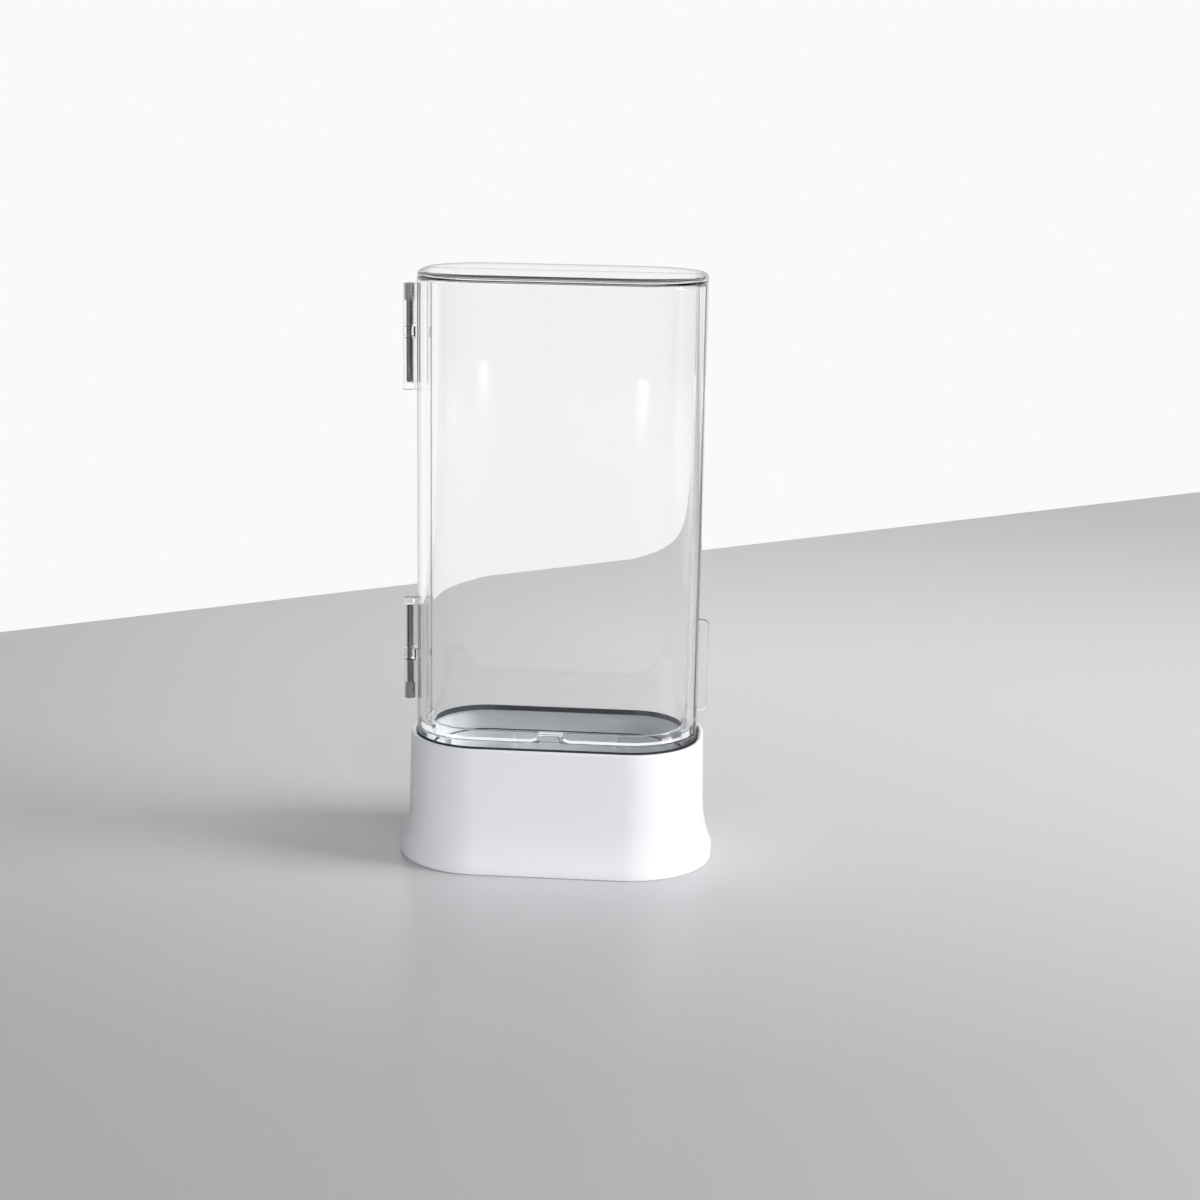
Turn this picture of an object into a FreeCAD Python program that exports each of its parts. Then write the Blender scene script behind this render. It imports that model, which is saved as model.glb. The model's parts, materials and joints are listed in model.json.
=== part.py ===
"""Herb keeper: a clear two-half pod that opens like a book and stands in a white water base.

Millimetres, +Z up. The origin is the centre of the foot, on the surface that the keeper stands on.
X runs along the width and the door faces -Y. Every level outline is the pod's rounded rectangle,
pushed outwards or inwards by an offset, so an offset of 0 is the pod's own outer face.
"""
import FreeCAD, Part
import math
import os
from FreeCAD import Vector

# Pod: the clear box of herbs
POD_WIDTH = 115.0
POD_DEPTH = 65.0
POD_CORNER_RADIUS = 27.5
KEEPER_HEIGHT = 240.0
POD_WALL = 3.5
TOP_PLATE = 3.0
TOP_EDGE_RADIUS = 2.0
CAVITY_TOP_RADIUS = 1.5
SPLIT_EDGE_ROUNDING = 0.35

# The split between rear shell and front door
SPLIT_GAP = 0.3
SILL_GAP = 0.4
SILL_ABOVE_RIM = 3.0
TONGUE_HEIGHT = 1.2
TONGUE_CLEARANCE = 0.2
TONGUE_SHARE_OF_WALL = 0.5
TONGUE_FROM_HINGE = 14.0
TONGUE_ABOVE_LIP = 7.0
DOOR_LIP_HEIGHT = 3.2
DOOR_LIP_REACH = 2.4

# Base: water cup and flared foot in one moulding
BASE_HEIGHT = 51.5
RIM_WALL = 2.05
RIM_ROUNDING = 0.9
COLLAR_CLEARANCE = 0.55
COLLAR_DEPTH = 10.0
COLLAR_LEAD_IN = 0.8
FOOT_SPREAD = 4.65
SIDE_DRAFT = 0.7
FLARE_HEIGHT = 22.0
TOE_HEIGHT = 2.6
TOE_ROUNDING = 0.9
SKIRT_WALL = 2.2
SKIRT_HOLLOW_HEIGHT = 10.5
CUP_WALL = 2.2
CUP_FLOOR_HEIGHT = 2.4
CUP_FLOOR_THICKNESS = 2.2
CUP_FLOOR_RADIUS = 4.0

# Ribs inside the cup, which the pod stands on
RIB_THICKNESS = 1.8
SEAT_RIB_REACH = 2.6
SEAT_GAP = 0.3
LONG_SIDE_RIB_SPACING = 44.0

# Seal ring in the pod's collar
SEAL_HEIGHT = 2.0
SEAL_ABOVE_RIM = 0.3
SEAL_GROOVE_DEPTH = 1.2
SEAL_GAP = 0.25
SEAL_EDGE_ROUNDING = 0.12

# Hinges: two mirrored sets of three knuckles, each on its own steel pin
PIN_DIAMETER = 2.5
PIN_LENGTH = 39.5
PIN_HEAD_LENGTH = 6.6
PIN_HEAD_TEETH = 16
PIN_TOOTH_DEPTH = 0.18
PIN_PRESS = 0.05
PIN_TIP_CHAMFER = 0.4
PIN_END_CLEARANCE = 0.5
PIN_RUNNING_CLEARANCE = 0.08
BARREL_DIAMETER = 5.15
AXIS_BEYOND_POD = 4.2
HINGE_WEB = 2.3
OUTER_KNUCKLE = 16.4
DOOR_KNUCKLE = 4.0
INNER_KNUCKLE = 21.0
KNUCKLE_GAP = 0.65
KNUCKLE_EDGE_ROUNDING = 0.3
HINGE_BELOW_TOP = 6.4
HINGE_ABOVE_RIM = 11.0

# Finger tab on the door's free end
TAB_HEIGHT = 38.0
TAB_REACH = 4.0
TAB_THICKNESS = 3.0
TAB_CORNER_RADIUS = 2.5
TAB_EDGE_ROUNDING = 0.8
TAB_ABOVE_RIM = 10.8

# Door catch at the middle of the sill
CATCH_WIDTH = 8.3
CATCH_TOP_WIDTH = 6.4
CATCH_HEIGHT = 2.8
CATCH_THICKNESS = 2.2
CATCH_SETBACK = 0.4
CATCH_SIDE_CLEARANCE = 1.3
CATCH_TOP_CLEARANCE = 0.4
CATCH_RAMP_WIDTH = 2.2
CATCH_RAMP_HEIGHT = 0.8
CATCH_ROUNDING = 0.4

# How far cutting and joining shapes run past each other, and how near counts as the same place
OVERLAP = 0.5
NEAR = 0.01

rim_offset = COLLAR_CLEARANCE + RIM_WALL
foot_offset = rim_offset + FOOT_SPREAD
sill_level = BASE_HEIGHT + SILL_ABOVE_RIM
door_bottom = sill_level + SILL_GAP
collar_bottom = BASE_HEIGHT - COLLAR_DEPTH
cavity_top = KEEPER_HEIGHT - TOP_PLATE
half_split = SPLIT_GAP / 2
axis_x = -POD_WIDTH / 2 - AXIS_BEYOND_POD
lip_top = door_bottom + DOOR_LIP_HEIGHT


def union(shapes):
    """All shapes as one solid, with the seams between flush faces removed."""
    return shapes[0].multiFuse(list(shapes[1:])).removeSplitter()


def outline(offset, level):
    """The pod's rounded rectangle at a level, pushed outwards by an offset, from the front middle."""
    half_width = POD_WIDTH / 2 + offset
    half_depth = POD_DEPTH / 2 + offset
    radius = POD_CORNER_RADIUS + offset
    centre_x = half_width - radius
    centre_y = half_depth - radius
    diagonal = radius * math.sqrt(0.5)

    def point(x, y):
        return Vector(x, y, level)

    def corner(side_x, side_y, first, last):
        middle = point(side_x * (centre_x + diagonal), side_y * (centre_y + diagonal))
        return Part.Arc(first, middle, last).toShape()

    front = point(0, -half_depth)
    stops = [front,
             point(centre_x, -half_depth), point(half_width, -centre_y),
             point(half_width, centre_y), point(centre_x, half_depth),
             point(-centre_x, half_depth), point(-half_width, centre_y),
             point(-half_width, -centre_y), point(-centre_x, -half_depth)]
    return Part.Wire([
        Part.makeLine(stops[0], stops[1]), corner(1, -1, stops[1], stops[2]),
        Part.makeLine(stops[2], stops[3]), corner(1, 1, stops[3], stops[4]),
        Part.makeLine(stops[4], stops[5]), corner(-1, 1, stops[5], stops[6]),
        Part.makeLine(stops[6], stops[7]), corner(-1, -1, stops[7], stops[8]),
        Part.makeLine(stops[8], front)])


def block(offset, bottom, top):
    """A full rounded block between two levels."""
    return Part.Face(outline(offset, bottom)).extrude(Vector(0, 0, top - bottom))


def ring(outer_offset, inner_offset, bottom, top):
    """A band that runs all round, between two offsets and two levels."""
    return block(outer_offset, bottom, top).cut(block(inner_offset, bottom - OVERLAP, top + OVERLAP))


def swept_ring(edges):
    """A ring whose cross-section is drawn as (offset, level) edges, carried round the pod's outline."""
    corner_x = POD_WIDTH / 2 - POD_CORNER_RADIUS
    corner_y = POD_DEPTH / 2 - POD_CORNER_RADIUS
    upright = Vector(0, 0, 1)
    runs = [((2 * corner_x, 0), (corner_x, -corner_y)), ((0, 2 * corner_y), (corner_x, corner_y)),
            ((-2 * corner_x, 0), (-corner_x, corner_y)), ((0, -2 * corner_y), (-corner_x, -corner_y))]
    face = Part.Face(Part.Wire(Part.__sortEdges__(edges)))
    face.translate(Vector(-corner_x, 0, 0))
    pieces = []
    for run, pivot in runs:
        pieces.append(face.extrude(Vector(*run, 0)))
        face.translate(Vector(*run, 0))
        pieces.append(face.revolve(Vector(*pivot, 0), upright, 90))
        face.rotate(Vector(*pivot, 0), upright, 90)
    return union(pieces)


def section_point(offset, level):
    """A point of a cross-section, in the plane through the front middle."""
    return Vector(0, -POD_DEPTH / 2 - offset, level)


def section_line(start, end):
    return Part.makeLine(section_point(*start), section_point(*end))


def section_arc(start, middle, end):
    return Part.Arc(section_point(*start), section_point(*middle), section_point(*end)).toShape()


def slab(x_range, y_range, z_range):
    """A box from its ranges."""
    size = [pair[1] - pair[0] for pair in (x_range, y_range, z_range)]
    return Part.makeBox(*size, Vector(x_range[0], y_range[0], z_range[0]))


def edges_where(shape, test):
    """The edges of a shape whose bounding box passes a test."""
    return [edge for edge in shape.Edges if test(edge.BoundBox)]


def flat_at(box, axis, value):
    """Whether a bounding box is flat across one axis, at a value."""
    low = getattr(box, axis + "Min")
    high = getattr(box, axis + "Max")
    return abs(low - value) < NEAR and abs(high - value) < NEAR


def beyond_pod(box):
    """How far a bounding box reaches outside the pod's outer faces."""
    return max(abs(box.XMin) - POD_WIDTH / 2, abs(box.XMax) - POD_WIDTH / 2,
               abs(box.YMin) - POD_DEPTH / 2, abs(box.YMax) - POD_DEPTH / 2)


def flare_offset(level):
    """Offset of the base's outer face: a drafted side that turns into a hollow flare."""
    shoulder = rim_offset + SIDE_DRAFT
    if level >= FLARE_HEIGHT:
        return rim_offset + SIDE_DRAFT * (BASE_HEIGHT - level) / (BASE_HEIGHT - FLARE_HEIGHT)
    rise = FLARE_HEIGHT - TOE_HEIGHT
    reach = foot_offset - shoulder
    radius = (reach ** 2 + rise ** 2) / (2 * reach)
    return shoulder + radius - math.sqrt(radius ** 2 - (FLARE_HEIGHT - level) ** 2)


def base_section():
    """Cross-section of the base's wall: cup wall, rounded rim, side, flared skirt and foot."""
    cup_inner = COLLAR_CLEARANCE
    cup_outer = cup_inner + CUP_WALL
    toe_middle = (FLARE_HEIGHT + TOE_HEIGHT) / 2
    rim_crown = BASE_HEIGHT - RIM_ROUNDING
    bend = RIM_ROUNDING * (1 - math.sqrt(0.5))
    toe_bend = TOE_ROUNDING * (1 - math.sqrt(0.5))
    skirt_inner = foot_offset - SKIRT_WALL
    floor_bottom = CUP_FLOOR_HEIGHT
    floor_top = floor_bottom + CUP_FLOOR_THICKNESS
    fillet_end = cup_inner - CUP_FLOOR_RADIUS
    fillet_mid = CUP_FLOOR_RADIUS * (1 - math.sqrt(0.5))
    side_top = (flare_offset(rim_crown), rim_crown)
    side_bottom = (flare_offset(FLARE_HEIGHT), FLARE_HEIGHT)
    toe_top = (foot_offset, TOE_HEIGHT)
    toe_side = (foot_offset, TOE_ROUNDING)
    toe_under = (foot_offset - TOE_ROUNDING, 0)
    hollow_top = (cup_outer, SKIRT_HOLLOW_HEIGHT)
    return [
        section_line((cup_inner, floor_top + CUP_FLOOR_RADIUS), (cup_inner, rim_crown)),
        section_arc((cup_inner, rim_crown), (cup_inner + bend, BASE_HEIGHT - bend),
                    (cup_inner + RIM_ROUNDING, BASE_HEIGHT)),
        section_line((cup_inner + RIM_ROUNDING, BASE_HEIGHT), (rim_offset - RIM_ROUNDING, BASE_HEIGHT)),
        section_arc((rim_offset - RIM_ROUNDING, BASE_HEIGHT),
                    (side_top[0] - bend, BASE_HEIGHT - bend), side_top),
        section_line(side_top, side_bottom),
        section_arc(side_bottom, (flare_offset(toe_middle), toe_middle), toe_top),
        section_line(toe_top, toe_side),
        section_arc(toe_side, (foot_offset - toe_bend, toe_bend), toe_under),
        section_line(toe_under, (skirt_inner, 0)),
        section_line((skirt_inner, 0), (skirt_inner, TOE_HEIGHT)),
        section_line((skirt_inner, TOE_HEIGHT), hollow_top),
        section_line(hollow_top, (cup_outer, floor_bottom)),
        section_line((cup_outer, floor_bottom), (fillet_end, floor_bottom)),
        section_line((fillet_end, floor_bottom), (fillet_end, floor_top)),
        section_arc((fillet_end, floor_top), (cup_inner - fillet_mid, floor_top + fillet_mid),
                    (cup_inner, floor_top + CUP_FLOOR_RADIUS)),
    ]


def rib_places():
    """Centre and outward direction of each rib, on the cup's inner face."""
    half_width = POD_WIDTH / 2 + COLLAR_CLEARANCE
    half_depth = POD_DEPTH / 2 + COLLAR_CLEARANCE
    corner_x = POD_WIDTH / 2 - POD_CORNER_RADIUS
    corner_y = POD_DEPTH / 2 - POD_CORNER_RADIUS
    radius = POD_CORNER_RADIUS + COLLAR_CLEARANCE
    diagonal = radius * math.sqrt(0.5)
    places = [(side * half_width, 0, 90 - side * 90) for side in (-1, 1)]
    for side_y in (-1, 1):
        for side_x in (-1, 1):
            places.append((side_x * LONG_SIDE_RIB_SPACING / 2, side_y * half_depth, side_y * 90))
            angle = math.degrees(math.atan2(side_y, side_x))
            places.append((side_x * (corner_x + diagonal), side_y * (corner_y + diagonal), angle))
    return places


def rib(place, top):
    """A rib that stands on the cup's floor against its wall, up to the level the pod rests on."""
    x, y, angle = place
    bottom = CUP_FLOOR_HEIGHT + CUP_FLOOR_THICKNESS / 2
    plate = Part.makeBox(SEAT_RIB_REACH + CUP_WALL / 2, RIB_THICKNESS, top - bottom,
                         Vector(-SEAT_RIB_REACH, -RIB_THICKNESS / 2, bottom))
    plate.rotate(Vector(0, 0, 0), Vector(0, 0, 1), angle)
    plate.translate(Vector(x, y, 0))
    return plate


def make_base():
    """White base: water cup, flared skirt and the inner ribs that carry the pod."""
    wall = swept_ring(base_section())
    floor_offset = COLLAR_CLEARANCE - CUP_FLOOR_RADIUS
    floor = block(floor_offset, CUP_FLOOR_HEIGHT, CUP_FLOOR_HEIGHT + CUP_FLOOR_THICKNESS)
    seat_top = collar_bottom - SEAT_GAP
    ribs = [rib(place, seat_top) for place in rib_places()]
    return union([wall, floor] + ribs)


def make_pod_block():
    """Both halves of the pod and its collar as one hollow block, before the split."""
    outer = block(0, collar_bottom, KEEPER_HEIGHT)
    top_edges = edges_where(outer, lambda box: flat_at(box, "Z", KEEPER_HEIGHT))
    outer = outer.makeFillet(TOP_EDGE_RADIUS, top_edges)
    lead_edges = edges_where(outer, lambda box: flat_at(box, "Z", collar_bottom))
    outer = outer.makeChamfer(COLLAR_LEAD_IN, lead_edges)
    cavity = block(-POD_WALL, collar_bottom - OVERLAP, cavity_top)
    cavity_edges = edges_where(cavity, lambda box: flat_at(box, "Z", cavity_top))
    return outer.cut(cavity.makeFillet(CAVITY_TOP_RADIUS, cavity_edges))


def round_split_edges(shell, split_y, level):
    """Round the outer edges of a half shell along the split and along its bottom or sill."""
    half_width = POD_WIDTH / 2

    def on_outer_face(box):
        at_end = abs(abs(box.Center.x) - half_width) < TOP_EDGE_RADIUS and box.XLength < TOP_EDGE_RADIUS + NEAR
        at_top = box.ZMin > cavity_top - NEAR
        return at_end or at_top

    def wanted(box):
        along_split = flat_at(box, "Y", split_y) and on_outer_face(box)
        along_bottom = flat_at(box, "Z", level) and beyond_pod(box) > -NEAR
        return along_split or along_bottom

    return shell.makeFillet(SPLIT_EDGE_ROUNDING, edges_where(shell, wanted))


def tongue_body(offset_clearance, depth, end_clearance):
    """The inner half of the wall along the top plate and the free end, in front of the split."""
    offset = -POD_WALL * TONGUE_SHARE_OF_WALL - offset_clearance
    crown = KEEPER_HEIGHT - TOP_PLATE * TONGUE_SHARE_OF_WALL - offset_clearance
    band = block(offset, lip_top, crown).cut(block(-POD_WALL, lip_top - OVERLAP, cavity_top))
    keep = slab((axis_x + TONGUE_FROM_HINGE - end_clearance, POD_WIDTH), (-depth, half_split + OVERLAP),
                (lip_top + TONGUE_ABOVE_LIP - end_clearance, KEEPER_HEIGHT))
    return band.common(keep)


def hinge_stations():
    """Bottom level and height of every knuckle, as (rear knuckles, door knuckles, pins)."""
    reach = OUTER_KNUCKLE + DOOR_KNUCKLE + INNER_KNUCKLE + 2 * KNUCKLE_GAP
    sets = [(KEEPER_HEIGHT - HINGE_BELOW_TOP, -1), (BASE_HEIGHT + HINGE_ABOVE_RIM, 1)]
    rear, door, pins = [], [], []
    for outer_end, inwards in sets:
        stations = [(0, OUTER_KNUCKLE, rear),
                    (OUTER_KNUCKLE + KNUCKLE_GAP, DOOR_KNUCKLE, door),
                    (reach - INNER_KNUCKLE, INNER_KNUCKLE, rear)]
        for start, height, owner in stations:
            ends = (outer_end + inwards * start, outer_end + inwards * (start + height))
            owner.append((min(ends), height))
        pins.append((outer_end, inwards))
    return rear, door, pins


def knuckle(bottom, height, side_y):
    """A hinge barrel with the web that ties it to the end wall, behind (+1) or before (-1) the split."""
    barrel = Part.makeCylinder(BARREL_DIAMETER / 2, height, Vector(axis_x, 0, bottom))
    rims = edges_where(barrel, lambda box: box.ZLength < NEAR)
    barrel = barrel.makeFillet(KNUCKLE_EDGE_ROUNDING, rims)
    y_range = (half_split, half_split + HINGE_WEB) if side_y > 0 else (-half_split - HINGE_WEB, -half_split)
    web = slab((axis_x, -POD_WIDTH / 2 + POD_WALL / 2), y_range, (bottom, bottom + height))
    return barrel.fuse(web).removeSplitter()


def pin_bore(outer_end, inwards):
    """The blind hole that a pin lies in, measured from the hinge's outer end."""
    length = PIN_LENGTH + PIN_END_CLEARANCE
    bottom = min(outer_end, outer_end + inwards * length)
    return Part.makeCylinder(PIN_DIAMETER / 2 + PIN_RUNNING_CLEARANCE, length, Vector(axis_x, 0, bottom))


def head_bore(outer_end, inwards):
    """The wider mouth of the hole, which the pin's toothed head is pressed into."""
    bottom = min(outer_end, outer_end + inwards * PIN_HEAD_LENGTH)
    radius = PIN_DIAMETER / 2 + PIN_TOOTH_DEPTH - PIN_PRESS
    return Part.makeCylinder(radius, PIN_HEAD_LENGTH, Vector(axis_x, 0, bottom))


def make_pin(outer_end, inwards):
    """A steel pin: plain shank with a chamfered tip, and a toothed head that grips the knuckle."""
    radius = PIN_DIAMETER / 2
    crest = radius + PIN_TOOTH_DEPTH
    shank = Part.makeCylinder(radius, PIN_LENGTH)
    tip = edges_where(shank, lambda box: flat_at(box, "Z", PIN_LENGTH))
    shank = shank.makeChamfer(PIN_TIP_CHAMFER, tip)
    corners = []
    for index in range(2 * PIN_HEAD_TEETH + 1):
        angle = math.pi * index / PIN_HEAD_TEETH
        reach = crest if index % 2 == 0 else radius
        corners.append(Vector(reach * math.cos(angle), reach * math.sin(angle), 0))
    head = Part.Face(Part.makePolygon(corners)).extrude(Vector(0, 0, PIN_HEAD_LENGTH))
    pin = union([shank, head])
    if inwards < 0:
        pin.rotate(Vector(0, 0, 0), Vector(1, 0, 0), 180)
    pin.translate(Vector(axis_x, 0, outer_end))
    return pin


def catch_nub():
    """The upstanding catch at the middle of the sill that the door's lip closes over."""
    front = -POD_DEPTH / 2 + CATCH_SETBACK
    foot_level = sill_level - OVERLAP
    top_level = sill_level + CATCH_HEIGHT
    corners = [Vector(-CATCH_WIDTH / 2, front, foot_level), Vector(-CATCH_WIDTH / 2, front, sill_level),
               Vector(-CATCH_TOP_WIDTH / 2, front, top_level), Vector(CATCH_TOP_WIDTH / 2, front, top_level),
               Vector(CATCH_WIDTH / 2, front, sill_level), Vector(CATCH_WIDTH / 2, front, foot_level)]
    face = Part.Face(Part.makePolygon(corners + corners[:1]))
    nub = face.extrude(Vector(0, CATCH_THICKNESS, 0))
    crown = edges_where(nub, lambda box: flat_at(box, "Z", top_level))
    return nub.makeFillet(CATCH_ROUNDING, crown)


def catch_notch():
    """The relief in the door's bottom edge round the catch, with a shallow ramp each side."""
    inner = CATCH_WIDTH / 2 + CATCH_SIDE_CLEARANCE
    outer = inner + CATCH_RAMP_WIDTH
    top = sill_level + CATCH_HEIGHT + CATCH_TOP_CLEARANCE
    ramp = door_bottom + CATCH_RAMP_HEIGHT
    below = door_bottom - OVERLAP
    front = -POD_DEPTH / 2 - OVERLAP
    half = [(outer, below), (outer, door_bottom), (inner, ramp), (inner - CATCH_ROUNDING, top)]
    corners = [Vector(x, front, z) for x, z in half] + [Vector(-x, front, z) for x, z in reversed(half)]
    face = Part.Face(Part.makePolygon(corners + corners[:1]))
    depth = OVERLAP + POD_WALL + DOOR_LIP_REACH + OVERLAP
    return face.extrude(Vector(0, depth, 0))


def seal_groove():
    """The channel round the collar that holds the seal ring."""
    top = BASE_HEIGHT + SEAL_ABOVE_RIM
    return ring(OVERLAP, -SEAL_GROOVE_DEPTH, top - SEAL_HEIGHT, top)


def make_seal():
    """Dark seal ring: fills the groove and stands a little proud of the collar."""
    top = BASE_HEIGHT + SEAL_ABOVE_RIM
    bottom = top - SEAL_HEIGHT
    proud = COLLAR_CLEARANCE - SEAL_GAP
    band = ring(proud, -SEAL_GROOVE_DEPTH, bottom, top)
    outer = edges_where(band, lambda box: (flat_at(box, "Z", bottom) or flat_at(box, "Z", top))
                        and beyond_pod(box) > NEAR)
    return band.makeFillet(SEAL_EDGE_ROUNDING, outer)


def make_tab():
    """The finger tab that pulls the door open, on the end away from the hinges."""
    bottom = BASE_HEIGHT + TAB_ABOVE_RIM
    tab = slab((POD_WIDTH / 2 - POD_WALL / 2, POD_WIDTH / 2 + TAB_REACH),
               (-half_split - TAB_THICKNESS, -half_split), (bottom, bottom + TAB_HEIGHT))
    outer_x = POD_WIDTH / 2 + TAB_REACH
    corners = edges_where(tab, lambda box: flat_at(box, "X", outer_x) and box.ZLength < NEAR)
    tab = tab.makeFillet(TAB_CORNER_RADIUS, corners)
    front_edges = edges_where(tab, lambda box: flat_at(box, "Y", -half_split - TAB_THICKNESS)
                              and box.XMax > POD_WIDTH / 2)
    return tab.makeFillet(TAB_EDGE_ROUNDING, front_edges)


def make_rear_shell(pod):
    """Rear half of the pod with the collar, catch, rear knuckles and the closing tongue."""
    behind = slab((-POD_WIDTH, POD_WIDTH), (half_split, POD_DEPTH), (sill_level - OVERLAP, KEEPER_HEIGHT + OVERLAP))
    collar = slab((-POD_WIDTH, POD_WIDTH), (-POD_DEPTH, POD_DEPTH), (0, sill_level))
    shell = pod.common(behind.fuse(collar)).removeSplitter()
    shell = round_split_edges(shell, half_split, sill_level)
    tongue = tongue_body(TONGUE_CLEARANCE, TONGUE_HEIGHT, 0)
    rear, _, pins = hinge_stations()
    knuckles = [knuckle(bottom, height, 1) for bottom, height in rear]
    shell = shell.cut(seal_groove())
    shell = union([shell, tongue, catch_nub()] + knuckles)
    for outer_end, inwards in pins:
        shell = shell.cut(pin_bore(outer_end, inwards))
        shell = shell.cut(head_bore(outer_end, inwards))
    return shell


def make_front_door(pod):
    """Front half of the pod: turned-in bottom lip, finger tab and the two short knuckles."""
    ahead = slab((-POD_WIDTH, POD_WIDTH), (-POD_DEPTH, -half_split), (door_bottom, KEEPER_HEIGHT + OVERLAP))
    door = round_split_edges(pod.common(ahead), -half_split, door_bottom)
    lip = ring(-POD_WALL / 2, -POD_WALL - DOOR_LIP_REACH, door_bottom, lip_top).common(ahead)
    _, short, pins = hinge_stations()
    knuckles = [knuckle(bottom, height, -1) for bottom, height in short]
    door = union([door, lip, make_tab()] + knuckles)
    door = door.cut(tongue_body(0, TONGUE_HEIGHT + TONGUE_CLEARANCE, TONGUE_CLEARANCE))
    door = door.cut(catch_notch())
    for outer_end, inwards in pins:
        door = door.cut(pin_bore(outer_end, inwards))
    return door


def make_parts():
    """Every piece of the keeper by name."""
    pod = make_pod_block()
    _, _, (upper, lower) = hinge_stations()
    return {
        "base": make_base(),
        "seal_ring": make_seal(),
        "rear_shell": make_rear_shell(pod),
        "front_door": make_front_door(pod),
        "upper_hinge_pin": make_pin(*upper),
        "lower_hinge_pin": make_pin(*lower),
    }


os.makedirs("parts", exist_ok=True)
for name, shape in make_parts().items():
    print(name, "valid", shape.isValid(), "solids", len(shape.Solids), "volume %.0f" % shape.Volume)
    shape.exportStep("parts/%s.step" % name)
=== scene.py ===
# %% [markdown]
# # A herb keeper in clear and white plastic
# The keeper is a clear box in two halves that open like a book, standing in a white base that
# holds water. The solids come from the construction model, at their real size and in their real
# place. This lesson gives them the skin, the edges and the finishes that the real mouldings have.
#
# The first cell loads the construction model. Everything is in metres from here on, with the
# origin under the middle of the foot, +Z up and the door facing -Y.

# %% Load the construction model
import json
import math

import bmesh
import bpy
from mathutils import Matrix, Vector

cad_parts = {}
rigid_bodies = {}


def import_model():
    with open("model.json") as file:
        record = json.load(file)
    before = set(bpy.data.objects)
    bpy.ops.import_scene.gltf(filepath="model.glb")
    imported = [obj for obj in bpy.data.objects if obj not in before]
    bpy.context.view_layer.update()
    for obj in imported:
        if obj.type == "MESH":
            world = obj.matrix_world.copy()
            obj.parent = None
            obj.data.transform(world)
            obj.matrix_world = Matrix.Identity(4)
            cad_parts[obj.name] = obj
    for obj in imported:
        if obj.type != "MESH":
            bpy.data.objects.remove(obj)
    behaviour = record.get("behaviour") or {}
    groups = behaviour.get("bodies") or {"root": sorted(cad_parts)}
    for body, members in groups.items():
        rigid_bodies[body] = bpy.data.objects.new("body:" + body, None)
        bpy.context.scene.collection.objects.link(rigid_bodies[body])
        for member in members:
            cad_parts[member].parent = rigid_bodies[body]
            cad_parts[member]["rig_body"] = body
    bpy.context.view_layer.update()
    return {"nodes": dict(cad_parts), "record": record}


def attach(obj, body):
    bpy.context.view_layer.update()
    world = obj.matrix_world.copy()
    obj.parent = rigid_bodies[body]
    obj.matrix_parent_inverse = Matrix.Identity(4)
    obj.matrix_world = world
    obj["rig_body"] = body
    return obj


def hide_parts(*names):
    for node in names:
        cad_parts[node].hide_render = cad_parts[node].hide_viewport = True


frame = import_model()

# %% [markdown]
# ## The camera
# The picture was taken from a little right of the middle and a little above the keeper, with a
# lens of about 66 mm on a full-frame sensor. A camera has a place, three turns and a lens, so
# those are the values here: how far away it stands, how far round, how high, and how it is
# panned, tilted and rolled.

# %% Camera
CAMERA_DISTANCE = 0.879
CAMERA_HEIGHT = 0.313
CAMERA_ROUND = math.radians(5.48)
CAMERA_PAN = math.radians(1.082)
CAMERA_TILT = math.radians(13.23)
CAMERA_ROLL = math.radians(1.006)
LENS_MM = 66.18
SENSOR_MM = 36.0


def add_camera():
    """Stand the camera on its circle round the keeper, then pan, tilt and roll it."""
    data = bpy.data.cameras.new("camera")
    data.lens = LENS_MM
    data.sensor_width = SENSOR_MM
    data.sensor_fit = "HORIZONTAL"
    data.clip_end = 20.0
    camera = bpy.data.objects.new("camera", data)
    bpy.context.scene.collection.objects.link(camera)
    upright = Matrix.Rotation(math.pi / 2, 4, "X")
    aim = (Matrix.Rotation(CAMERA_ROUND - CAMERA_PAN, 4, "Z") @ upright
           @ Matrix.Rotation(-CAMERA_TILT, 4, "X") @ Matrix.Rotation(CAMERA_ROLL, 4, "Z"))
    stand = Vector((CAMERA_DISTANCE * math.sin(CAMERA_ROUND),
                    -CAMERA_DISTANCE * math.cos(CAMERA_ROUND), CAMERA_HEIGHT))
    camera.matrix_world = Matrix.Translation(stand) @ aim
    bpy.context.scene.camera = camera
    return camera


camera = add_camera()
print("camera stands at", [round(v, 3) for v in camera.matrix_world.translation])

# %% [markdown]
# ## Shader maths as plain Python
# A procedural finish is arithmetic on a few noises. Wiring each Math node by hand hides that
# arithmetic, so a small class wraps a socket and turns `a * b + c` into the nodes. Colours go
# through `blend`, because a Math node would turn them grey.

# %% Sockets with operators
class Wire:
    """A socket of a node tree that can be added, multiplied and so on."""

    def __init__(self, tree, socket):
        self.tree = tree
        self.socket = socket

    def math(self, operation, other):
        return wired(self.tree, "ShaderNodeMath", 0, {"operation": operation}, i0=self, i1=other)

    def __add__(self, other):
        return self.math("ADD", other)

    def __sub__(self, other):
        return self.math("SUBTRACT", other)

    def __mul__(self, other):
        return self.math("MULTIPLY", other)


def make_node(tree, kind, settings=None, **inputs):
    """One node: its settings first, then each socket by name, or by place as i0, i1 and so on."""
    node = tree.nodes.new(kind)
    for name, value in (settings or {}).items():
        setattr(node, name, value)
    for name, value in inputs.items():
        place = name[1:]
        key = int(place) if name[0] == "i" and place.isdigit() else name.replace("_", " ")
        socket = node.inputs[key]
        if isinstance(value, Wire):
            tree.links.new(value.socket, socket)
        else:
            socket.default_value = value
    return node


def wired(tree, kind, output, settings=None, **inputs):
    """One output of a new node, by its place or its name."""
    return Wire(tree, make_node(tree, kind, settings, **inputs).outputs[output])


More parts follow.
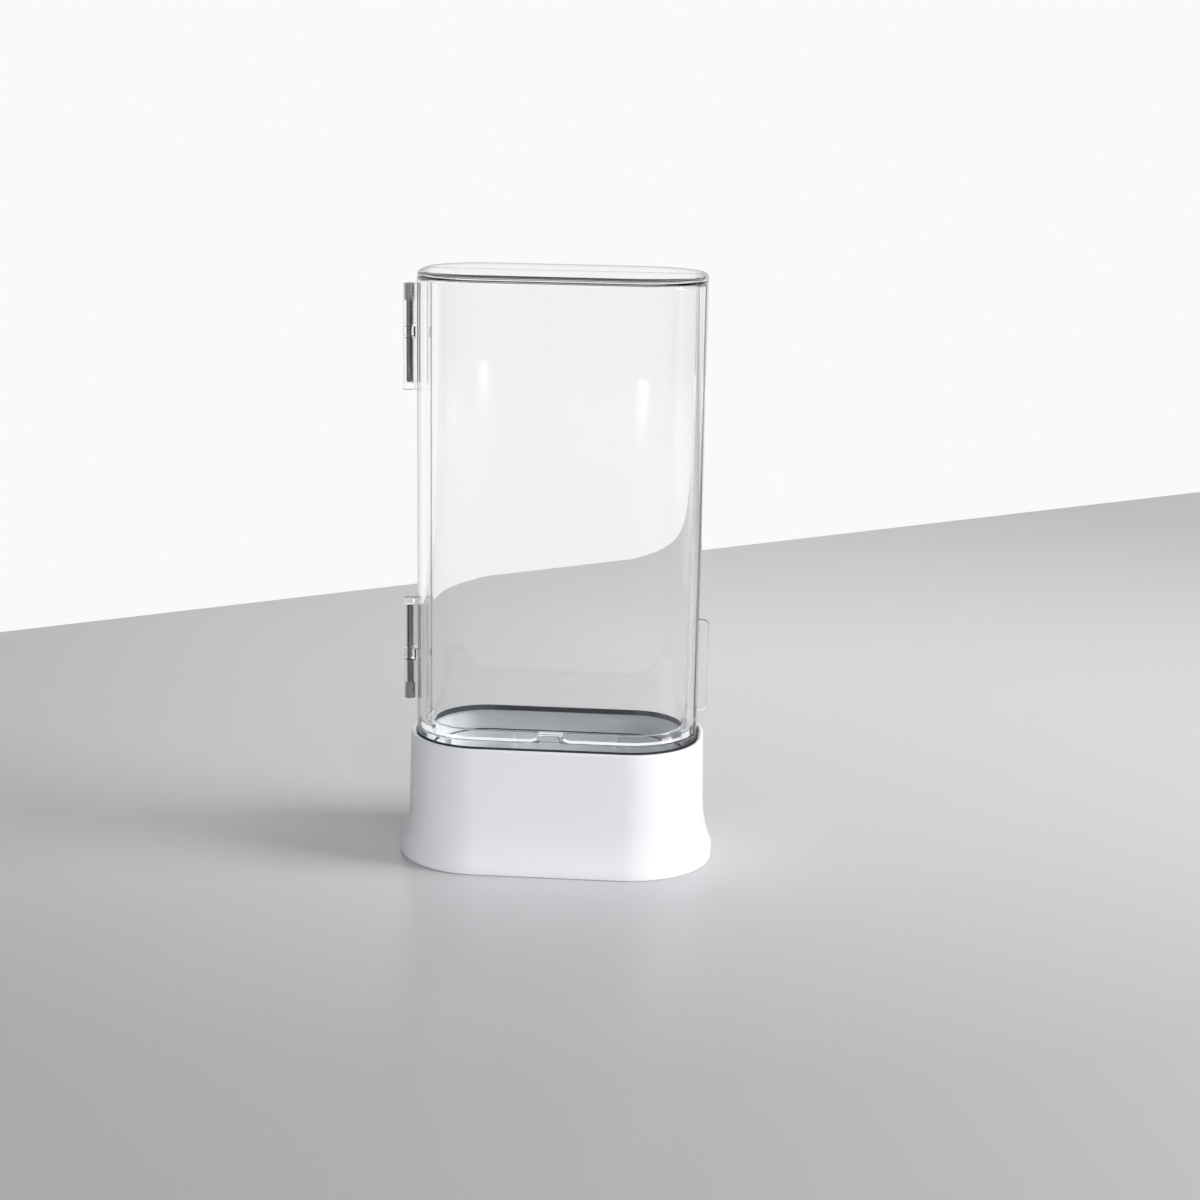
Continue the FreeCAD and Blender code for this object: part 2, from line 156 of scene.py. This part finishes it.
def mix_colours(tree, factor, first, second):
    """A colour between two, each either fixed or wired."""
    made = tree.nodes.new("ShaderNodeMix")
    made.data_type = "RGBA"
    tree.links.new(factor.socket, made.inputs[0])
    for socket, value in ((made.inputs[6], first), (made.inputs[7], second)):
        if isinstance(value, Wire):
            tree.links.new(value.socket, socket)
        else:
            socket.default_value = (*value, 1.0)
    return Wire(tree, made.outputs[2])


class Finish:
    """A new material with its tree, its Principled shader and the piece's own coordinates."""

    def __init__(self, name):
        self.material = bpy.data.materials.new(name)
        self.material.use_nodes = True
        self.tree = self.material.node_tree
        self.tree.nodes.clear()
        self.output = make_node(self.tree, "ShaderNodeOutputMaterial")
        self.shader = make_node(self.tree, "ShaderNodeBsdfPrincipled")
        self.tree.links.new(self.shader.outputs[0], self.output.inputs["Surface"])
        self.place = wired(self.tree, "ShaderNodeTexCoord", "Object")

    def set(self, **values):
        """Fix or wire sockets of the Principled shader."""
        for name, value in values.items():
            socket = self.shader.inputs[name.replace("_", " ")]
            if isinstance(value, Wire):
                self.tree.links.new(value.socket, socket)
            else:
                socket.default_value = value

    def noise(self, scale, detail=2.0, roughness=0.5, stretch=(1.0, 1.0, 1.0)):
        """Soft noise from 0 to 1, in the piece's own metres."""
        mapped = wired(self.tree, "ShaderNodeMapping", 0, Vector=self.place, Scale=stretch)
        return wired(self.tree, "ShaderNodeTexNoise", 0, Vector=mapped, Scale=scale,
                     Detail=detail, Roughness=roughness)

    def spread(self, value, low, high):
        """A 0 to 1 value spread over a range."""
        return wired(self.tree, "ShaderNodeMapRange", 0, Value=value, To_Min=low, To_Max=high)

    def blend(self, factor, first, second):
        """A colour between two colours."""
        return mix_colours(self.tree, factor, first, second)

    def bump(self, height, strength, depth):
        """A bumped normal from a height."""
        return wired(self.tree, "ShaderNodeBump", 0, Height=height, Strength=strength,
                     Distance=depth)

    def mix_in(self, factor, other):
        """Let another shader take over from the Principled one where a factor is 1."""
        own = Wire(self.tree, self.shader.outputs[0])
        mixed = wired(self.tree, "ShaderNodeMixShader", 0, i0=factor, i1=own, i2=other)
        self.tree.links.new(mixed.socket, self.output.inputs["Surface"])


print("shader helpers ready")

# %% [markdown]
# ## White plastic
# The base is injection moulded in a satin white. Real mouldings are never one flat colour: the
# polish varies a little where the mould was worked, and the skin has a very fine pebble that
# breaks up highlights. Both are noises in the piece's own metres, so they don't slide.

# %% White plastic
WHITE = (0.80, 0.81, 0.83)
WHITE_DEEP = (0.77, 0.78, 0.805)
WHITE_ROUGHNESS = (0.30, 0.40)
WHITE_IOR = 1.49
CLOUD_SCALE = 28.0
PEBBLE_SCALE = 2600.0
PEBBLE_STRENGTH = 0.25
PEBBLE_DEPTH = 0.00003


def white_plastic():
    finish = Finish("white_plastic")
    cloud = finish.noise(CLOUD_SCALE, detail=3.0)
    pebble = finish.noise(PEBBLE_SCALE)
    finish.set(Base_Color=finish.blend(cloud, WHITE, WHITE_DEEP), IOR=WHITE_IOR,
               Roughness=finish.spread(cloud, *WHITE_ROUGHNESS),
               Normal=finish.bump(pebble, PEBBLE_STRENGTH, PEBBLE_DEPTH))
    return finish.material


# %% [markdown]
# ## Clear plastic
# The pod is thick, polished, clear plastic. A Principled shader with full transmission bends the
# view as real plastic does, and the thickness of the modelled wall gives the bright and dark
# edge lines by itself. Lamps reach what is behind it through a Transparent shader that only
# shadow rays see, because bent shadow rays would leave the inside black.

# %% Clear plastic
CLEAR_TINT = (0.992, 0.997, 0.999)
CLEAR_SHADOW = (0.78, 0.79, 0.80)
CLEAR_ROUGHNESS = (0.0, 0.012)
CLEAR_IOR = 1.47
SMEAR_SCALE = 60.0
SMEAR_STRETCH = (1.0, 1.0, 0.35)
WAVE_SCALE = 34.0
WAVE_STRENGTH = 0.05
WAVE_DEPTH = 0.0001


def clear_plastic():
    finish = Finish("clear_plastic")
    wave = finish.noise(WAVE_SCALE, detail=1.0, roughness=0.4)
    smear = finish.noise(SMEAR_SCALE, detail=4.0, roughness=0.6, stretch=SMEAR_STRETCH)
    finish.set(Base_Color=(*CLEAR_TINT, 1.0), Transmission_Weight=1.0, IOR=CLEAR_IOR,
               Roughness=finish.spread(smear, *CLEAR_ROUGHNESS),
               Normal=finish.bump(wave, WAVE_STRENGTH, WAVE_DEPTH))
    shadow_ray = wired(finish.tree, "ShaderNodeLightPath", "Is Shadow Ray")
    through = wired(finish.tree, "ShaderNodeBsdfTransparent", 0, Color=(*CLEAR_SHADOW, 1.0))
    finish.mix_in(shadow_ray, through)
    return finish.material


# %% [markdown]
# ## Steel and rubber
# The hinge pins are drawn steel wire, so their marks are dark and bright streaks along the wire.
# Their heads are knurled, and there the steel is painted lighter than the wire, a painted sheen for
# the light that the knurl catches. How far a spot lies from the pin's axis tells the two apart, so
# the pins are first measured on the construction model. The seal is a dark, soft rubber with a dull
# moulded skin.

# %% Steel and rubber
NEAR = 0.00002
HEAD_RATIO = 1.02
STEEL = (0.27, 0.275, 0.27)
STEEL_DARK = (0.030, 0.032, 0.032)
# painted sheen: the knurled head's steel is lighter than the wire, for the light its facets catch
STEEL_PAINTED_SHEEN = (0.34, 0.34, 0.33)
STEEL_ROUGHNESS = (0.16, 0.30)
STREAK_SCALE = 1700.0
STREAK_STRETCH = (1.0, 1.0, 0.012)
STREAK_RANGE = (0.38, 0.62)
STREAK_STRENGTH = 0.3
STREAK_DEPTH = 0.00001
RUBBER = (0.018, 0.020, 0.022)
RUBBER_DUSTY = (0.032, 0.034, 0.036)
RUBBER_ROUGHNESS = (0.5, 0.65)
DUST_SCALE = 900.0
DUST_STRENGTH = 0.3
DUST_DEPTH = 0.00003


def pin_sizes(node):
    """Where a pin lies and how big it is, measured on the construction model."""
    corners = [vertex.co.copy() for vertex in frame["nodes"][node].data.vertices]
    low = Vector([min(c[axis] for c in corners) for axis in range(3)])
    high = Vector([max(c[axis] for c in corners) for axis in range(3)])
    centre = (low + high) / 2

    def widest(chosen):
        return max((c - centre).xy.length for c in chosen)

    upper = [c for c in corners if c.z > centre.z]
    lower = [c for c in corners if c.z < centre.z]
    head_up = widest(upper) > widest(lower)
    shank = widest(lower if head_up else upper)
    end = high.z if head_up else low.z
    head = max(abs(c.z - end) for c in corners if (c - centre).xy.length > shank * HEAD_RATIO)
    length = high.z - low.z
    tip = [c for c in corners if abs(c.z - end) > length - NEAR]
    return {"place": Vector((centre.x, centre.y, end)), "head_up": head_up, "length": length,
            "radius": shank, "crest": widest(corners), "head": head, "tip": widest(tip)}


def pin_steel(sizes):
    finish = Finish("pin_steel")
    tree = finish.tree
    drawn = finish.noise(STREAK_SCALE, roughness=0.6, stretch=STREAK_STRETCH)
    streak = wired(tree, "ShaderNodeMapRange", 0, Value=drawn,
                   From_Min=STREAK_RANGE[0], From_Max=STREAK_RANGE[1])
    level = wired(tree, "ShaderNodeVectorMath", 0, {"operation": "MULTIPLY"},
                  i0=finish.place, i1=(1.0, 1.0, 0.0))
    from_axis = wired(tree, "ShaderNodeVectorMath", "Value", {"operation": "DISTANCE"},
                      i0=level, i1=(*sizes["place"].xy, 0.0))
    # painted sheen mask: 1 on the knurled head, beyond the wire's radius, where the steel is
    # painted lighter
    painted_sheen_mask = wired(tree, "ShaderNodeMapRange", 0, Value=from_axis,
                From_Min=sizes["radius"] + NEAR, From_Max=sizes["radius"] + 2 * NEAR)
    wire_colour = finish.blend(streak, STEEL_DARK, STEEL)
    finish.set(Base_Color=finish.blend(painted_sheen_mask, wire_colour, STEEL_PAINTED_SHEEN), Metallic=1.0,
               Roughness=finish.spread(drawn, *STEEL_ROUGHNESS),
               Normal=finish.bump(drawn, STREAK_STRENGTH, STREAK_DEPTH))
    return finish.material


def seal_rubber():
    finish = Finish("seal_rubber")
    dust = finish.noise(DUST_SCALE, detail=3.0)
    finish.set(Base_Color=finish.blend(dust, RUBBER, RUBBER_DUSTY),
               Roughness=finish.spread(dust, *RUBBER_ROUGHNESS),
               Normal=finish.bump(dust, DUST_STRENGTH, DUST_DEPTH))
    return finish.material


SLOT_OF = {part["node"]: part["material_slot"] for part in frame["record"]["subparts"]}
PIN_SIZES = {node: pin_sizes(node) for node, slot in SLOT_OF.items() if slot == "pin_steel"}
FINISHES = {"white_plastic": white_plastic(), "clear_plastic": clear_plastic(),
            "pin_steel": pin_steel(next(iter(PIN_SIZES.values()))), "seal_rubber": seal_rubber()}
print("finishes:", ", ".join(FINISHES))

# %% [markdown]
# ## Skins for the parts
# The construction model arrives as loose flat triangles. Polished plastic shows every facet, so
# each part gets a skin: a copy whose corners are joined, shaded smoothly across curves and
# sharply at edges. The copy then stands for the part, in the same place.
#
# Plain smooth shading isn't enough for clear walls. Where a wide flat wall meets a curve, the mean
# of their normals leans over, and the wall then bends the view like a bad window. So a corner
# takes the normal of the widest flat that it belongs to, if that is much wider than the rest.
# Elsewhere each face counts by its area and by its angle at the corner, so the small facets of a
# rounded edge don't tilt the long facets of the wall below it.

# %% Skins
SHARP_ANGLE = math.radians(30)
FLAT_ANGLE = math.radians(0.2)
FLAT_LEAD = 3.0
JOIN_DISTANCE = 0.000002


def smooth_groups(corner):
    """The faces round a corner point, in groups that meet over smooth edges."""
    left = set(corner.link_faces)
    groups = []
    while left:
        group = [left.pop()]
        for face in group:
            for edge in face.edges:
                if corner in edge.verts and edge.smooth:
                    found = [other for other in edge.link_faces if other in left]
                    left.difference_update(found)
                    group.extend(found)
        groups.append(group)
    return groups


def group_normal(group, corner):
    """The normal of the widest flat in a group of faces, or their mean where none stands out."""
    widest = max(group, key=lambda face: face.calc_area())
    flat = [face for face in group if face.normal.angle(widest.normal, math.pi) < FLAT_ANGLE]
    flat_area = sum(face.calc_area() for face in flat)
    total_area = sum(face.calc_area() for face in group)
    if flat_area > FLAT_LEAD * (total_area - flat_area):
        return widest.normal.copy()
    mean = Vector()
    for face in group:
        for loop in face.loops:
            if loop.vert == corner:
                mean += face.normal * face.calc_area() * loop.calc_angle()
    return mean.normalized()


def polish(mesh):
    """Join a mesh's loose corners, mark its sharp edges and give it the normals above."""
    work = bmesh.new()
    work.from_mesh(mesh)
    bmesh.ops.remove_doubles(work, verts=work.verts, dist=JOIN_DISTANCE)
    bmesh.ops.dissolve_degenerate(work, edges=work.edges, dist=JOIN_DISTANCE)
    for face in work.faces:
        face.smooth = True
    for edge in work.edges:
        edge.smooth = len(edge.link_faces) == 2 and edge.calc_face_angle(0.0) < SHARP_ANGLE
    work.faces.index_update()
    normals = {}
    for corner in work.verts:
        for group in smooth_groups(corner):
            direction = group_normal(group, corner)
            normals.update({(face.index, corner): direction for face in group})
    ordered = [normals[face.index, loop.vert] for face in work.faces for loop in face.loops]
    work.to_mesh(mesh)
    work.free()
    if mesh.attributes.get("custom_normal"):
        mesh.attributes.remove(mesh.attributes["custom_normal"])
    mesh.normals_split_custom_set(ordered)


def dress(node, mesh, ending):
    """Stand a mesh in a part's place, on the part's body and in the part's material."""
    mesh.materials.clear()
    mesh.materials.append(FINISHES[SLOT_OF[node]])
    piece = bpy.data.objects.new(node + ending, mesh)
    bpy.context.scene.collection.objects.link(piece)
    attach(piece, frame["nodes"][node]["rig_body"])
    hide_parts(node)
    print(piece.name, len(mesh.polygons), "faces")


for node in frame["nodes"]:
    if node not in PIN_SIZES:
        skin = frame["nodes"][node].data.copy()
        polish(skin)
        dress(node, skin, "_skin")

# %% [markdown]
# ## Knurled pins
# The head of each hinge pin is knurled, so that it bites into the plastic. A knurl is one small
# pyramid many times over, in rows that are shifted by half a step, which is a job for Geometry
# Nodes. The pin's place, length and radii are those measured on the construction model. The soft
# plastic has flowed in between the pyramids, so their roots lie just outside the bore.

# %% Knurled pins
STUDS_ROUND = 18
STUD_PITCH = 0.00044
STUD_SPREAD = 0.72
STUD_HEIGHT = 0.00004
PIN_SIDES = 48


def pin_tree():
    """Geometry Nodes tree: a wire with a chamfered tip, and pyramids in rows round its head."""
    tree = bpy.data.node_groups.new("knurled pin", "GeometryNodeTree")
    for name in ("Radius", "Length", "Head length", "Tip radius", "Head radius", "Stud height",
                 "Stud radius"):
        tree.interface.new_socket(name, in_out="INPUT", socket_type="NodeSocketFloat")
    for name in ("Studs round", "Rows"):
        tree.interface.new_socket(name, in_out="INPUT", socket_type="NodeSocketInt")
    tree.interface.new_socket("Steel", in_out="INPUT", socket_type="NodeSocketMaterial")
    tree.interface.new_socket("Geometry", in_out="OUTPUT", socket_type="NodeSocketGeometry")
    given = tree.nodes.new("NodeGroupInput")
    size = {socket.name: Wire(tree, socket) for socket in given.outputs if socket.name}

    def made(kind, output, settings=None, **inputs):
        return wired(tree, kind, output, settings, **inputs)

    def shifted(geometry, height):
        place = made("ShaderNodeCombineXYZ", 0, Z=height)
        return made("GeometryNodeTransform", 0, Geometry=geometry, Translation=place)

    def cylinder(radius, length):
        return shifted(made("GeometryNodeMeshCylinder", "Mesh", Vertices=PIN_SIDES,
                            Radius=radius, Depth=length), length * 0.5)

    chamfer = size["Radius"] - size["Tip radius"]
    straight = size["Length"] - chamfer
    wire = cylinder(size["Radius"], straight)
    tip = shifted(made("GeometryNodeMeshCone", "Mesh", Vertices=PIN_SIDES, Depth=chamfer,
                       Radius_Top=size["Tip radius"], Radius_Bottom=size["Radius"]), straight)
    head = cylinder(size["Head radius"], size["Head length"])

    index = made("GeometryNodeInputIndex", 0)
    row = (index + 0.5).math("DIVIDE", size["Studs round"]).math("FLOOR", 0.0)
    turns = (index + row * 0.5).math("DIVIDE", size["Studs round"])
    angle = turns * (2 * math.pi)
    across, along = angle.math("COSINE", 0.0), angle.math("SINE", 0.0)
    outward = made("ShaderNodeCombineXYZ", 0, X=across, Y=along)
    reach = size["Head radius"] - NEAR
    level = (row + 0.5) * size["Head length"].math("DIVIDE", size["Rows"])
    place = made("ShaderNodeCombineXYZ", 0, X=across * reach, Y=along * reach, Z=level)
    count = size["Studs round"] * size["Rows"]
    points = made("GeometryNodePoints", 0, Count=count, Position=place)
    facing = made("FunctionNodeAlignRotationToVector", 0, {"axis": "Z"}, Vector=outward)
    stud = made("GeometryNodeMeshCone", "Mesh", {"fill_type": "NONE"}, Vertices=4,
                Radius_Top=0.0, Radius_Bottom=size["Stud radius"],
                Depth=size["Stud height"] + NEAR)
    studs = made("GeometryNodeInstanceOnPoints", 0, Points=points, Instance=stud, Rotation=facing)
    realized = made("GeometryNodeRealizeInstances", 0, Geometry=studs)

    joined = tree.nodes.new("GeometryNodeJoinGeometry")
    for piece in (wire, tip, head, realized):
        tree.links.new(piece.socket, joined.inputs[0])
    finished = made("GeometryNodeSetMaterial", 0, Geometry=Wire(tree, joined.outputs[0]),
                    Material=size["Steel"])
    make_node(tree, "NodeGroupOutput", None, i0=finished)
    return tree


def knurled_pin(node, tree):
    """A pin from the tree, at the sizes and in the place of the construction model's pin."""
    sizes = PIN_SIZES[node]
    values = {"Radius": sizes["radius"], "Length": sizes["length"], "Tip radius": sizes["tip"],
              "Head length": sizes["head"], "Head radius": sizes["crest"] - STUD_HEIGHT,
              "Stud height": STUD_HEIGHT, "Stud radius": STUD_PITCH * STUD_SPREAD,
              "Studs round": STUDS_ROUND,
              "Rows": round(sizes["head"] / STUD_PITCH), "Steel": FINISHES["pin_steel"]}
    carrier = bpy.data.objects.new("pin_carrier", bpy.data.meshes.new("pin_carrier"))
    bpy.context.scene.collection.objects.link(carrier)
    modifier = carrier.modifiers.new("knurled pin", "NODES")
    modifier.node_group = tree
    for item in tree.interface.items_tree:
        if item.item_type == "SOCKET" and item.in_out == "INPUT":
            modifier[item.identifier] = values[item.name]
    carrier.update_tag()
    bpy.context.view_layer.update()
    shown = carrier.evaluated_get(bpy.context.evaluated_depsgraph_get())
    mesh = bpy.data.meshes.new_from_object(shown)
    bpy.data.objects.remove(carrier)
    flip = Matrix.Rotation(math.pi if sizes["head_up"] else 0.0, 4, "X")
    mesh.transform(Matrix.Translation(sizes["place"]) @ flip)
    polish(mesh)
    measures = {name: value for name, value in sizes.items() if isinstance(value, float)}
    print(node, "in mm:", {name: round(value * 1000, 3) for name, value in measures.items()})
    dress(node, mesh, "_knurled")


tree_of_pin = pin_tree()
for node in PIN_SIZES:
    knurled_pin(node, tree_of_pin)

# %% [markdown]
# ## Counter, wall and light
# A pale stone counter and a white wall give clear plastic something to bend. The counter has a
# soft polish, so it mirrors the base faintly, and its back edge runs away to the right. Its colour
# is painted brighter round a point behind the keeper and darker away from it, a painted pool of
# light. The wall is painted by Light Path: the camera, mirrors and clear plastic see it plain
# white, while the light that it gives back stays modest.

# %% Counter and wall
# painted pool of light: the counter runs from the lit colour near a point behind the keeper to the
# shaded colour at the reach
COUNTER_PAINTED_LIT = (0.885, 0.89, 0.90)
COUNTER_PAINTED_SHADE = (0.52, 0.53, 0.545)
PAINTED_POOL_CENTRE = (0.0, 0.34, 0.0)
PAINTED_POOL_REACH = 0.56
COUNTER_ROUGHNESS = 0.26
COUNTER_IOR = 1.45
COUNTER_SIZE = 6.0
COUNTER_BACK = 0.467
COUNTER_TURN = math.radians(36.8)
SPECK_SCALE = 700.0
SPECK_AMOUNT = 0.2
WALL_COLOUR = (0.80, 0.80, 0.81)
WALL_ROUGHNESS = 0.8
WALL_SEEN = 0.955
WALL_AWAY = 1.5
WALL_HEIGHT = 4.0


def plain_sheet(name, corners, material):
    """A flat four-cornered sheet for the setting."""
    mesh = bpy.data.meshes.new(name)
    mesh.from_pydata(corners, [], [(0, 1, 2, 3)])
    mesh.materials.append(material)
    sheet = bpy.data.objects.new(name, mesh)
    bpy.context.scene.collection.objects.link(sheet)


def counter_finish():
    finish = Finish("counter_stone")
    # painted pool of light: brighter near a point behind the keeper and darker away from it; the
    # specks are the stone's own
    away = wired(finish.tree, "ShaderNodeVectorMath", "Value", {"operation": "DISTANCE"},
                 i0=finish.place, i1=PAINTED_POOL_CENTRE)
    speck = finish.noise(SPECK_SCALE, detail=3.0, roughness=0.7)
    painted_pool_and_specks = away * (1 / PAINTED_POOL_REACH) + (speck - 0.5) * SPECK_AMOUNT
    finish.set(Base_Color=finish.blend(painted_pool_and_specks, COUNTER_PAINTED_LIT, COUNTER_PAINTED_SHADE),
               Roughness=COUNTER_ROUGHNESS, IOR=COUNTER_IOR)
    return finish.material


def seen_directly(tree):
    """1 for rays from the camera, from mirrors and through clear plastic, and 0 for the rest."""
    rays = make_node(tree, "ShaderNodeLightPath").outputs
    names = ("Is Camera Ray", "Is Glossy Ray", "Is Transmission Ray")
    camera_ray, glossy_ray, clear_ray = (Wire(tree, rays[name]) for name in names)
    return camera_ray.math("MAXIMUM", glossy_ray).math("MAXIMUM", clear_ray)


def wall_finish():
    finish = Finish("wall_paint")
    finish.set(Base_Color=(*WALL_COLOUR, 1.0), Roughness=WALL_ROUGHNESS)
    plain = wired(finish.tree, "ShaderNodeEmission", 0, Color=(1.0, 1.0, 1.0, 1.0),
                  Strength=WALL_SEEN)
    finish.mix_in(seen_directly(finish.tree), plain)
    return finish.material


half = COUNTER_SIZE / 2
turn = Matrix.Rotation(COUNTER_TURN, 4, "Z")
counter_corners = ((-half, -half, 0), (half, -half, 0), (half, COUNTER_BACK, 0),
                   (-half, COUNTER_BACK, 0))
wall_corners = ((-half, WALL_AWAY, -WALL_HEIGHT), (half, WALL_AWAY, -WALL_HEIGHT),
                (half, WALL_AWAY, WALL_HEIGHT), (-half, WALL_AWAY, WALL_HEIGHT))
plain_sheet("counter", [turn @ Vector(c) for c in counter_corners], counter_finish())
plain_sheet("wall", [turn @ Vector(c) for c in wall_corners], wall_finish())

# %% [markdown]
# ## Light
# One big soft lamp stands to the right. A low one in front on the same side lights the upright
# faces more than the counter, so the base runs from white at its right end to grey at its left, and
# a weak one opens the left end. No lamp shows in mirrors, as in a picture taken through big
# screens, and only the big one shows through clear plastic, where it opens the inside of the base.
# The room lights the front softly. Mirrors and clear plastic see another room: bright in front,
# behind and above, and dark to both sides, because that difference draws the dark and bright lines
# along the edges of clear plastic.

# %% Lamps and room
LAMP_TARGET = Vector((0.0, 0.0, 0.06))
KEY_PLACE = Vector((1.30, -0.12, 0.70))
KEY_SIZE = 0.6
KEY_WATTS = 21.5
FRONT_PLACE = Vector((0.45, -1.50, 0.14))
FRONT_SIZE = 0.25
FRONT_WATTS = 10.2
LEFT_PLACE = Vector((-1.10, -0.90, 0.14))
LEFT_SIZE = 0.25
LEFT_WATTS = 0.9
ROOM_LIGHT = 0.31
ROOM_FADE = (-0.5, 0.3)
SEEN_BRIGHT = (0.93, 0.94, 0.96)
SEEN_DARK = (0.16, 0.165, 0.175)
SEEN_EDGE = (0.70, 0.97)


def add_lamp(name, place, target, size, watts, shows=False):
    """A square soft lamp that points at a target, and shows through clear plastic or not."""
    data = bpy.data.lights.new(name, "AREA")
    data.energy = watts
    data.size = size
    lamp = bpy.data.objects.new(name, data)
    lamp.location = place
    lamp.rotation_euler = (target - place).to_track_quat("-Z", "Y").to_euler()
    lamp.visible_glossy = False
    lamp.visible_transmission = shows
    bpy.context.scene.collection.objects.link(lamp)


def add_room():
    """A world that lights the front, and that mirrors and clear plastic see differently."""
    world = bpy.data.worlds.new("room")
    world.use_nodes = True
    tree = world.node_tree
    direction = wired(tree, "ShaderNodeTexCoord", "Generated")
    parts = make_node(tree, "ShaderNodeSeparateXYZ", None, Vector=direction).outputs
    behind = wired(tree, "ShaderNodeMapRange", 0, Value=Wire(tree, parts["Y"]),
                   From_Min=ROOM_FADE[0], From_Max=ROOM_FADE[1])
    lit = mix_colours(tree, behind, (ROOM_LIGHT,) * 3, (0.0, 0.0, 0.0))
    aside = Wire(tree, parts["X"]).math("ABSOLUTE", 0.0)
    edge = wired(tree, "ShaderNodeMapRange", 0, Value=aside,
                 From_Min=SEEN_EDGE[0], From_Max=SEEN_EDGE[1])
    seen = mix_colours(tree, edge, SEEN_BRIGHT, SEEN_DARK)
    shown = mix_colours(tree, seen_directly(tree), lit, seen)
    tree.links.new(shown.socket, tree.nodes["Background"].inputs["Color"])
    bpy.context.scene.world = world


add_lamp("key", KEY_PLACE, LAMP_TARGET, KEY_SIZE, KEY_WATTS, shows=True)
add_lamp("front", FRONT_PLACE, LAMP_TARGET, FRONT_SIZE, FRONT_WATTS)
add_lamp("left", LEFT_PLACE, LAMP_TARGET, LEFT_SIZE, LEFT_WATTS)
add_room()
bpy.context.scene.view_settings.view_transform = "Standard"
